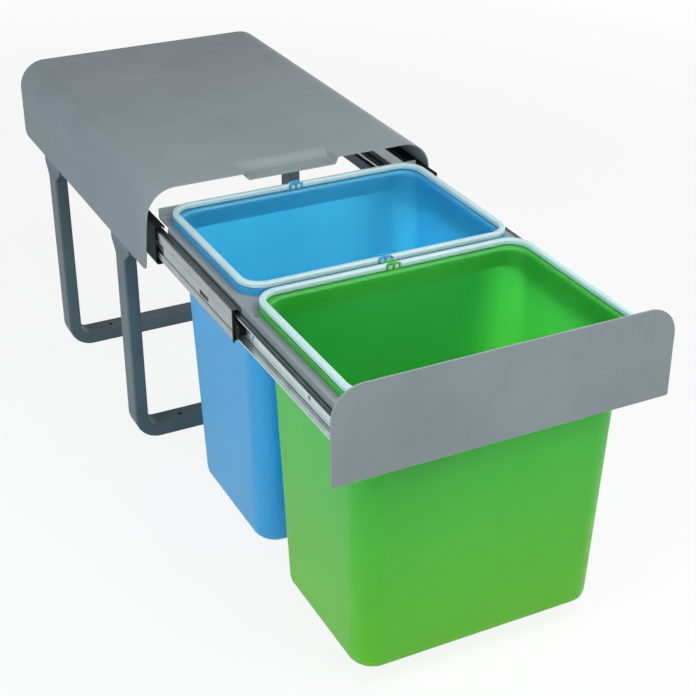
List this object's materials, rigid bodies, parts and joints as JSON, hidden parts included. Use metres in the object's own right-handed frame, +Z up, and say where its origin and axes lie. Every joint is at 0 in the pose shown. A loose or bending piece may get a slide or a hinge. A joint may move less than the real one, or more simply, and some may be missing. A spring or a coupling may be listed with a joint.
{
  "type": "pull-out recycling bin",
  "caption": "Built-in pull-out recycling bin: bent steel cover on tube legs, ball slides, carrier frame with front panel, and hanging plastic bins with folding bail handles.",
  "frame": {"origin": "centre of the four floor screw holes in the legs, on the floor", "axes": "+X to the right seen from the front, +Y to the rear (the unit pulls out along -Y), +Z up"},
  "size_m": [0.35, 0.939, 0.363],
  "materials": {
    "grey_paint": "satin grey powder coat",
    "leg_paint": "satin grey powder coat",
    "zinc": "bright zinc plate",
    "dark_zinc": "dark zinc plate",
    "cage_steel": "plain strip",
    "ball_steel": "polished",
    "black_plastic": "moulded",
    "blue_plastic": "translucent moulded",
    "green_plastic": "translucent moulded",
    "pale_plastic": "translucent moulded"
  },
  "bodies": {
    "chassis": {"top_cover": "grey_paint", "front_leg": "leg_paint", "rear_leg": "leg_paint", "left_outer_rail": "dark_zinc", "left_outer_stop": "black_plastic", "right_outer_rail": "dark_zinc", "right_outer_stop": "black_plastic"},
    "carriage": {"carrier_frame": "grey_paint", "cross_member": "grey_paint", "front_panel": "grey_paint", "left_inner_rail": "zinc", "right_inner_rail": "zinc"},
    "left_middle": {"left_middle_rail": "zinc", "left_middle_stop": "black_plastic"},
    "left_outer_cage_set": {"left_outer_cage": "cage_steel", "left_outer_balls": "ball_steel"},
    "left_inner_cage_set": {"left_inner_cage": "cage_steel", "left_inner_balls": "ball_steel"},
    "right_middle": {"right_middle_rail": "zinc", "right_middle_stop": "black_plastic"},
    "right_outer_cage_set": {"right_outer_cage": "cage_steel", "right_outer_balls": "ball_steel"},
    "right_inner_cage_set": {"right_inner_cage": "cage_steel", "right_inner_balls": "ball_steel"},
    "rear_bin": {"rear_bin": "blue_plastic"},
    "front_bin": {"front_bin": "green_plastic"},
    "rear_bin_left_bail": {"rear_bin_left_handle": "pale_plastic"},
    "rear_bin_right_bail": {"rear_bin_right_handle": "pale_plastic"},
    "front_bin_left_bail": {"front_bin_left_handle": "pale_plastic"},
    "front_bin_right_bail": {"front_bin_right_handle": "pale_plastic"}
  },
  "joints": [
    {"name": "carriage_slide", "type": "slide", "parent": "chassis", "child": "carriage", "axis": [0, -1, 0], "range_m": [-0.42, 0]},
    {"name": "left_middle_slide", "type": "slide", "parent": "chassis", "child": "left_middle", "axis": [0, -1, 0], "range_m": [-0.21, 0]},
    {"name": "left_outer_cage_set_slide", "type": "slide", "parent": "chassis", "child": "left_outer_cage_set", "axis": [0, -1, 0], "range_m": [-0.105, 0]},
    {"name": "left_inner_cage_set_slide", "type": "slide", "parent": "chassis", "child": "left_inner_cage_set", "axis": [0, -1, 0], "range_m": [-0.315, 0]},
    {"name": "right_middle_slide", "type": "slide", "parent": "chassis", "child": "right_middle", "axis": [0, -1, 0], "range_m": [-0.21, 0]},
    {"name": "right_outer_cage_set_slide", "type": "slide", "parent": "chassis", "child": "right_outer_cage_set", "axis": [0, -1, 0], "range_m": [-0.105, 0]},
    {"name": "right_inner_cage_set_slide", "type": "slide", "parent": "chassis", "child": "right_inner_cage_set", "axis": [0, -1, 0], "range_m": [-0.315, 0]},
    {"name": "rear_bin_lift", "type": "slide", "parent": "carriage", "child": "rear_bin", "axis": [0, 0, 1], "range_m": [0, 0.345]},
    {"name": "front_bin_lift", "type": "slide", "parent": "carriage", "child": "front_bin", "axis": [0, 0, 1], "range_m": [0, 0.345]},
    {"name": "rear_bin_left_bail_hinge", "type": "hinge", "parent": "rear_bin", "child": "rear_bin_left_bail", "pos_m": [-0.0034, -0.35, 0.34], "axis": [0, 1, 0], "range_deg": [0, 90]},
    {"name": "rear_bin_right_bail_hinge", "type": "hinge", "parent": "rear_bin", "child": "rear_bin_right_bail", "pos_m": [0.0034, -0.35, 0.34], "axis": [0, -1, 0], "range_deg": [0, 90]},
    {"name": "front_bin_left_bail_hinge", "type": "hinge", "parent": "front_bin", "child": "front_bin_left_bail", "pos_m": [-0.0034, -0.578, 0.34], "axis": [0, 1, 0], "range_deg": [0, 90]},
    {"name": "front_bin_right_bail_hinge", "type": "hinge", "parent": "front_bin", "child": "front_bin_right_bail", "pos_m": [0.0034, -0.578, 0.34], "axis": [0, -1, 0], "range_deg": [0, 90]}
  ],
  "couplings": [
    {"joint": "left_middle_slide", "follows": "carriage_slide", "ratio": 0.5},
    {"joint": "left_outer_cage_set_slide", "follows": "carriage_slide", "ratio": 0.25},
    {"joint": "left_inner_cage_set_slide", "follows": "carriage_slide", "ratio": 0.75},
    {"joint": "right_middle_slide", "follows": "carriage_slide", "ratio": 0.5},
    {"joint": "right_outer_cage_set_slide", "follows": "carriage_slide", "ratio": 0.25},
    {"joint": "right_inner_cage_set_slide", "follows": "carriage_slide", "ratio": 0.75}
  ]
}
